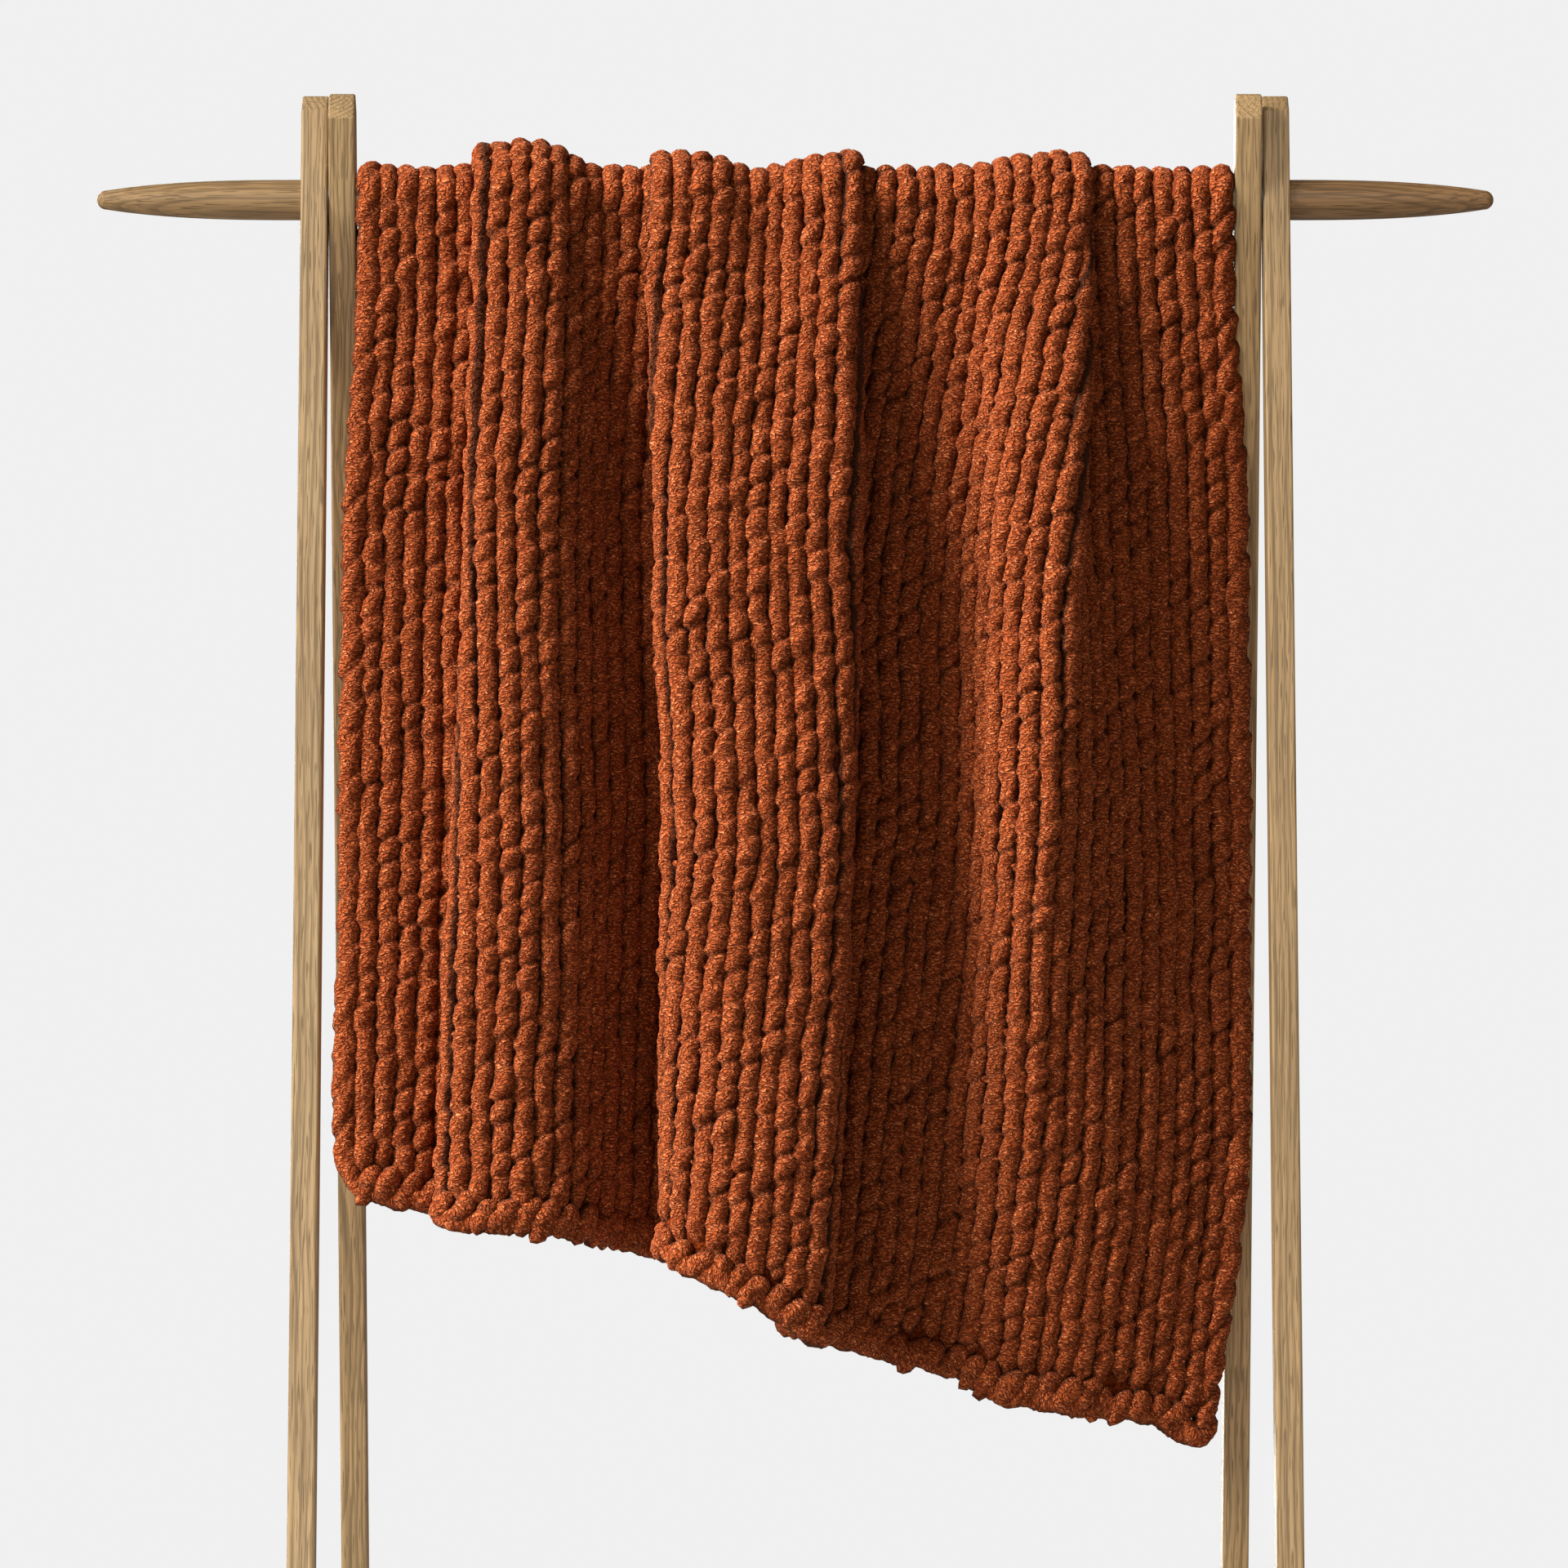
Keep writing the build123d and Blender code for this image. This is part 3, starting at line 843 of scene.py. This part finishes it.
def woodMaterial(name, grainTree, turn, shift, values):
    material, tree, shader = newMaterial(name, Roughness=0.5, Specular_IOR_Level=0.35)
    turned = addNode(tree, "ShaderNodeMapping", {
        "Vector": objectPlace(tree), "Location": shift, "Rotation": tuple(math.radians(v) for v in turn),
    }).outputs[0]
    grained = tree.nodes.new("ShaderNodeGroup")
    grained.node_tree = grainTree
    tree.links.new(turned, grained.inputs["Place"])
    for label, value in values.items():
        grained.inputs[label].default_value = value
    bump = bumpNormal(tree, grained.outputs["Height"], 0.35, 0.0006)
    tree.links.new(grained.outputs["Colour"], shader.inputs["Base Color"])
    tree.links.new(grained.outputs["Roughness"], shader.inputs["Roughness"])
    tree.links.new(bump, shader.inputs["Normal"])
    return material


def toned(colour, factor):
    return (*(min(1.0, part * factor) for part in colour), 1)


legLean = 11.5                # degrees from the vertical, one leg forwards and one backwards
oak = {
    "light": 1.30,            # early wood, late wood and pores against a piece's mean colour
    "dark": 0.60,
    "pore": 0.40,
    # mean colour, turn and shift that bring the grain to Z, heart of the tree, ring width
    "pieces": {
        "outer_leg_left": (
            (0.395, 0.268, 0.136), (legLean, 0, 0), (0.47, 0.0, 0.0), (0.062, -0.300, 0), 0.0056,
        ),
        "outer_leg_right": (
            (0.326, 0.214, 0.101), (legLean, 0, 0), (-0.47, 0.0, 0.4), (-0.050, -0.315, 0), 0.0064,
        ),
        "inner_leg_left": (
            (0.395, 0.265, 0.130), (-legLean, 0, 0), (0.44, 0.0, 0.9), (-0.030, 0.330, 0), 0.0034,
        ),
        "inner_leg_right": (
            (0.390, 0.258, 0.124), (-legLean, 0, 0), (-0.44, 0.0, 1.3), (0.042, 0.325, 0), 0.0056,
        ),
        "finial_left": ((0.306, 0.194, 0.092), (0, 90, 0), (0, 0, 0), (1.60, 0.05, 0), 0.0050),
        # painted shade: the right finial's mean colour is darker than the left finial's
        "finial_right": ((0.213, 0.119, 0.051), (0, 90, 0), (0, 0, 0.3), (1.58, 0.06, 0), 0.0052),
        "hanging_bar": ((0.330, 0.210, 0.105), (0, 90, 0), (0, 0, 0.7), (1.60, -0.06, 0), 0.0050),
    },
}


def finishOak(grainTree):
    for name, (colour, turn, shift, heart, ringWidth) in oak["pieces"].items():
        material = woodMaterial(name + "Oak", grainTree, turn, shift, {
            "Early Wood": toned(colour, oak["light"]), "Late Wood": toned(colour, oak["dark"]),
            "Pore Colour": toned(colour, oak["pore"]), "Ring Width": ringWidth, "Heart": heart,
        })
        setFinish([name], material)


def setFinish(names, material):
    for name in names:
        for slot in bpy.data.objects[name].material_slots:
            slot.material = material


def beechMaterial(grainTree):
    return woodMaterial("beech", grainTree, (90, 0, 0), (0, 0, 0), {
        "Early Wood": (0.62, 0.42, 0.26, 1), "Late Wood": (0.50, 0.32, 0.19, 1),
        "Pore Colour": (0.34, 0.2, 0.11, 1), "Ring Width": 0.003,
        "Ring Strength": 0.3, "Pore Strength": 0.35,
    })


def steelMaterial():
    material, tree, shader = newMaterial("turnedSteel", Metallic=1.0)
    lines = vectorMaths(tree, "MULTIPLY", objectPlace(tree), (3200, 60, 60))
    turning = noiseTexture(tree, lines, 1.0, 2.0)[0]
    colour = mixColour(tree, turning, (0.50, 0.50, 0.51, 1), (0.68, 0.68, 0.69, 1))
    tree.links.new(colour, shader.inputs["Base Color"])
    tree.links.new(remap(tree, turning, 0.3, 0.7, 0.28, 0.46), shader.inputs["Roughness"])
    return material


def specklyMaterial(name, low, high, size, depth, roughness):
    # moulded plastic or rubber with a fine uneven skin, whose grains have this size and depth
    material, tree, shader = newMaterial(name)
    skin = noiseTexture(tree, objectPlace(tree), 1 / size, 3.0)[0]
    spots = remap(tree, skin, 0.3, 0.7)
    dull = remap(tree, skin, 0.3, 0.7, roughness - 0.06, roughness + 0.06)
    tree.links.new(mixColour(tree, spots, low, high), shader.inputs["Base Color"])
    tree.links.new(dull, shader.inputs["Roughness"])
    tree.links.new(bumpNormal(tree, skin, 0.5, depth), shader.inputs["Normal"])
    return material


def bothSides(*names):
    return [f"{name}_{side}" for name in names for side in ("left", "right")]


makeCamera()
lamps = makeStudio()
print("knitting the throw")
ground, ropes = knitThrow(chenilleMaterial(), shadeGroundMaterial())
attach(ground, "throw")
for piece in ropes:
    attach(piece, "throw")
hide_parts("throw")

print("finishing the wood and small parts")
grainTree = oakGrain()
finishOak(grainTree)
setFinish(bothSides("locking_dowel"), beechMaterial(grainTree))
setFinish(bothSides("finial_stud", "stop_pin"), steelMaterial())
setFinish(bothSides("spacer_washer"), specklyMaterial(
    "blackNylon", (0.012, 0.011, 0.010, 1), (0.022, 0.020, 0.018, 1),
    size=0.0007, depth=0.00005, roughness=0.5,
))
setFinish(bothSides("rear_foot_pad", "front_foot_pad"), specklyMaterial(
    "brownRubber", (0.035, 0.024, 0.017, 1), (0.060, 0.042, 0.030, 1),
    size=0.0012, depth=0.0002, roughness=0.8,
))
shareLight(lamps, [ground, *ropes])
